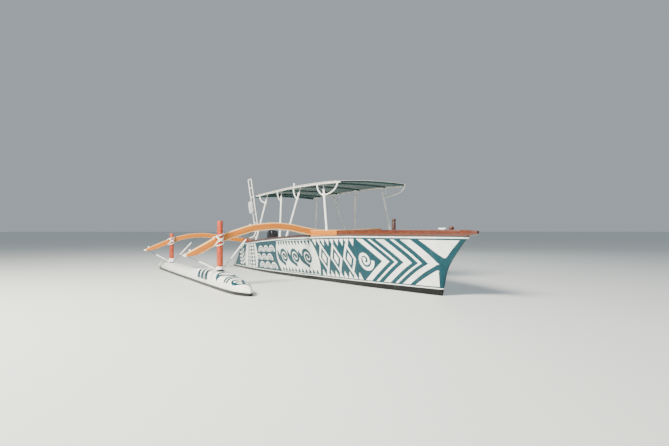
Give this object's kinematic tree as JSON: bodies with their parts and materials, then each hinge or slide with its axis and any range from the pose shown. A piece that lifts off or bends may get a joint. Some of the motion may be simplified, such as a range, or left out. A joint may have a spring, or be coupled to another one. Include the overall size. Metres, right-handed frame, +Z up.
{
  "type": "motor outrigger canoe",
  "caption": "Flat-sided passenger outrigger canoe with a starboard float on curved wooden crossbeams, cloth canopy, boarding ladder and tilting outboard motor.",
  "frame": {"origin": "in the waterline plane, on the main hull's centreline, 4.75 m aft of the stem's waterline point", "axes": "+X towards the bow, +Y to port, +Z up; the float is on the starboard side, -Y"},
  "size_m": [10.99, 4.8414, 3.2411],
  "materials": {
    "hull_paint": "gloss teal and white paint over planking",
    "white_paint": "gloss white paint",
    "deck_paint": "non-slip deck paint",
    "varnished_rail": "varnished hardwood",
    "honey_wood": "varnished laminated wood",
    "post_wood": "oiled red wood",
    "white_tube": "white coated tube",
    "canvas": "woven awning cloth",
    "motor_plastic": "black moulded cowling",
    "motor_casting": "dark painted casting",
    "bright_steel": "polished stainless steel",
    "fender_vinyl": "inflated vinyl"
  },
  "bodies": {
    "root": {"aft_deck": "deck_paint", "beam_shelf_port": "honey_wood", "beam_shelf_starboard": "honey_wood", "bench_port": "deck_paint", "bench_starboard": "deck_paint", "bow_bollard": "varnished_rail", "bow_chock": "varnished_rail", "bow_cleat": "white_paint", "bow_rail_port": "varnished_rail", "bow_rail_starboard": "varnished_rail", "brace_front_inboard": "white_tube", "brace_front_outboard": "white_tube", "brace_rear_inboard": "white_tube", "brace_rear_outboard": "white_tube", "bulkhead_aft": "deck_paint", "bulkhead_front": "deck_paint", "canopy_bow_1": "white_tube", "canopy_bow_2": "white_tube", "canopy_bow_3": "white_tube", "canopy_bow_4": "white_tube", "canopy_bow_5": "white_tube", "canopy_bow_6": "white_tube", "canopy_cloth": "canvas", "canopy_leg_port_1": "white_tube", "canopy_leg_port_2": "white_tube", "canopy_leg_port_3": "white_tube", "canopy_leg_port_4": "white_tube", "canopy_leg_starboard_1": "white_tube", "canopy_leg_starboard_2": "white_tube", "canopy_leg_starboard_3": "white_tube", "canopy_leg_starboard_4": "white_tube", "canopy_light": "white_paint", "canopy_side_port": "white_tube", "canopy_side_starboard": "white_tube", "cockpit_sole": "deck_paint", "crossbeam_front": "honey_wood", "crossbeam_rear": "honey_wood", "float": "white_paint", "float_collar_front": "white_paint", "float_collar_rear": "white_paint", "float_post_front": "post_wood", "float_post_rear": "post_wood", "foredeck": "white_paint", "gunwale_port": "varnished_rail", "gunwale_starboard": "varnished_rail", "hull_shell": "hull_paint", "ladder_bracket_after": "bright_steel", "ladder_bracket_fore": "bright_steel", "motor_board": "varnished_rail", "motor_clamp": "motor_casting", "prow_board": "varnished_rail"},
    "motor_bracket": {"motor_swivel": "motor_casting"},
    "motor": {"motor_leg": "motor_casting", "motor_cowling": "motor_plastic"},
    "propeller": {"propeller": "bright_steel"},
    "ladder": {"ladder": "white_tube", "fender": "fender_vinyl"}
  },
  "joints": [
    {"name": "outboard_tilt", "type": "hinge", "parent": "root", "child": "motor_bracket", "pos_m": [-3.29, 0, 0.8], "axis": [0, 1, 0], "range_deg": [0, 60]},
    {"name": "outboard_steer", "type": "hinge", "parent": "motor_bracket", "child": "motor", "pos_m": [-3.38, 0, 0.6], "axis": [0, 0, 1], "range_deg": [-30, 30]},
    {"name": "propeller_spin", "type": "hinge", "parent": "motor", "child": "propeller", "pos_m": [-3.626, 0, -0.33], "axis": [1, 0, 0], "continuous": true},
    {"name": "ladder_fold", "type": "hinge", "parent": "root", "child": "ladder", "pos_m": [-2.75, -0.955, 0.968], "axis": [1, 0, 0], "range_deg": [0, 160]}
  ]
}
